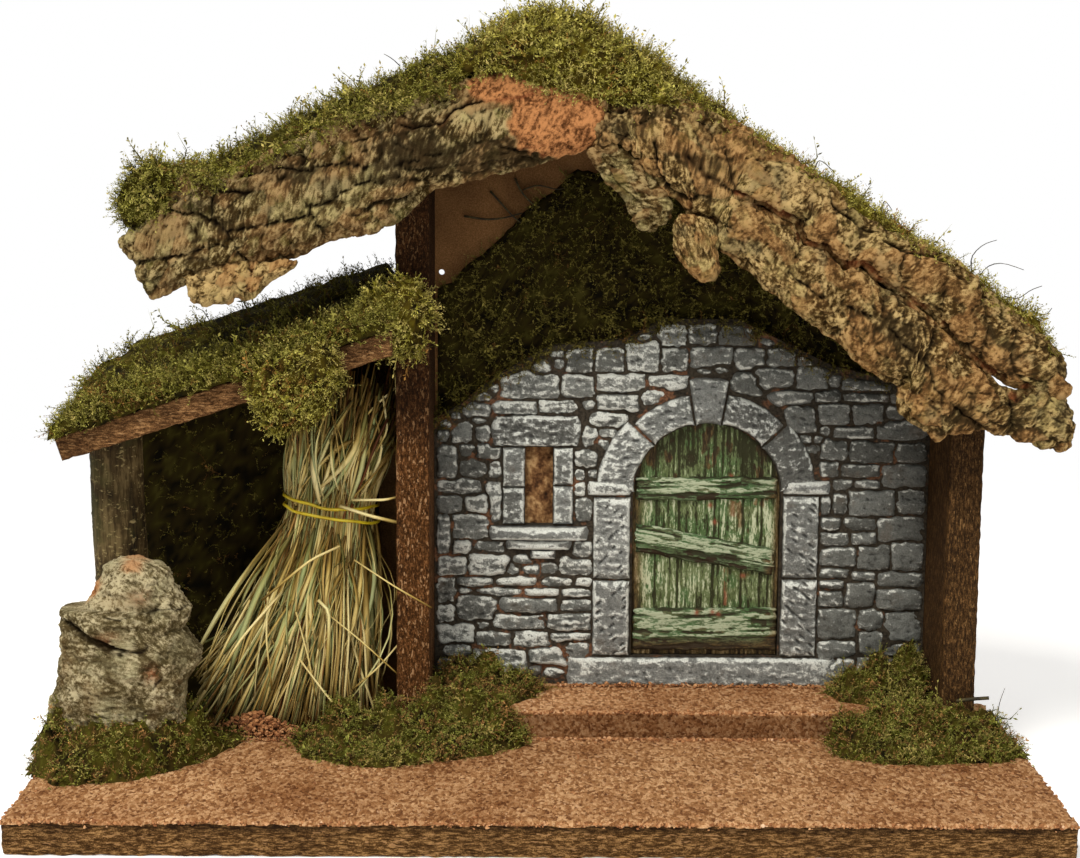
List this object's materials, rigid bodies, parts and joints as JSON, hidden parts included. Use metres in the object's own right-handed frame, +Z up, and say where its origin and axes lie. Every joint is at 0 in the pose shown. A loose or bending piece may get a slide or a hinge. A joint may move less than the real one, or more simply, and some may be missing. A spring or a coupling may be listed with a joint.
{
  "type": "nativity stable",
  "caption": "Miniature wooden stable with a cast stone front, an open porch, a lean-to shed with a straw sheaf, and a mossy bark-edged roof.",
  "frame": {"origin": "middle of the base board's underside", "axes": "+X to the right seen from the front, +Y to the back, +Z up"},
  "size_m": [0.5144, 0.206, 0.3929],
  "materials": {
    "base_wood": "rough dark brown board edge",
    "cork_granules": "pressed cork granules",
    "chipboard": "rough stained chipboard",
    "fibreboard": "thin brown fibreboard",
    "log_wood": "thin bark on a round log",
    "cast_stone_joint": "dark joints of a painted casting",
    "cast_stone": "painted grey with pale dry brushing",
    "door_green": "weathered green paint",
    "door_green_pale": "pale weathered green paint",
    "cork_pane": "dark pressed cork",
    "bark_grey": "grey tan cork oak bark",
    "bark_warm": "warm tan cork oak bark",
    "bark_stump": "grey cork bark with red broken tops",
    "moss": "dried preserved moss",
    "moss_dark": "dried preserved moss, dark",
    "moss_ground": "dried preserved moss",
    "twig": "dry stalks",
    "straw": "dried straw",
    "elastic": "yellow elastic",
    "steel": "plain steel"
  },
  "bodies": {
    "root": {"base_board": "base_wood", "ground_cork": "cork_granules", "step_board": "base_wood", "step_cork": "cork_granules", "wall_panel_left": "chipboard", "wall_panel_right": "chipboard", "back_panel": "fibreboard", "shed_back_panel": "fibreboard", "log_post": "log_wood", "roof_board_left": "chipboard", "roof_board_right": "chipboard", "shed_roof_board": "chipboard", "facade_slab": "cast_stone_joint", "wall_stones_left": "cast_stone", "wall_stones_right": "cast_stone", "wall_stones_top": "cast_stone", "arch_stones": "cast_stone", "keystone": "cast_stone", "impost_blocks": "cast_stone", "jamb_stones": "cast_stone", "threshold_stone": "cast_stone", "door_planks": "door_green", "door_battens": "door_green_pale", "door_brace": "door_green_pale", "window_lintel": "cast_stone", "window_jambs": "cast_stone", "window_sill": "cast_stone", "sill_corbels": "cast_stone", "window_panel": "cork_pane", "bark_left_main": "bark_grey", "bark_left_lower": "bark_grey", "bark_right_upper": "bark_warm", "bark_right_lower": "bark_warm", "bark_right_inner": "bark_warm", "bark_right_flake": "bark_warm", "cork_stump": "bark_stump", "moss_roof_left": "moss", "moss_ridge": "moss", "moss_roof_right": "moss", "moss_back_wall": "moss_dark", "moss_shed_roof": "moss", "moss_post_tuft": "moss", "moss_hanging_tuft": "moss", "moss_shed_wall": "moss_dark", "moss_ground_left": "moss_ground", "moss_ground_mid": "moss_ground", "moss_ground_right": "moss_ground", "moss_step_mid": "moss_ground", "moss_step_right": "moss_ground", "cork_crumbs": "cork_granules", "dry_twigs": "twig", "sheaf_straws": "straw", "sheaf_band_upper": "elastic", "sheaf_band_lower": "elastic", "base_screws": "steel", "roof_brads": "steel", "panel_brads": "steel"}
  },
  "joints": []
}
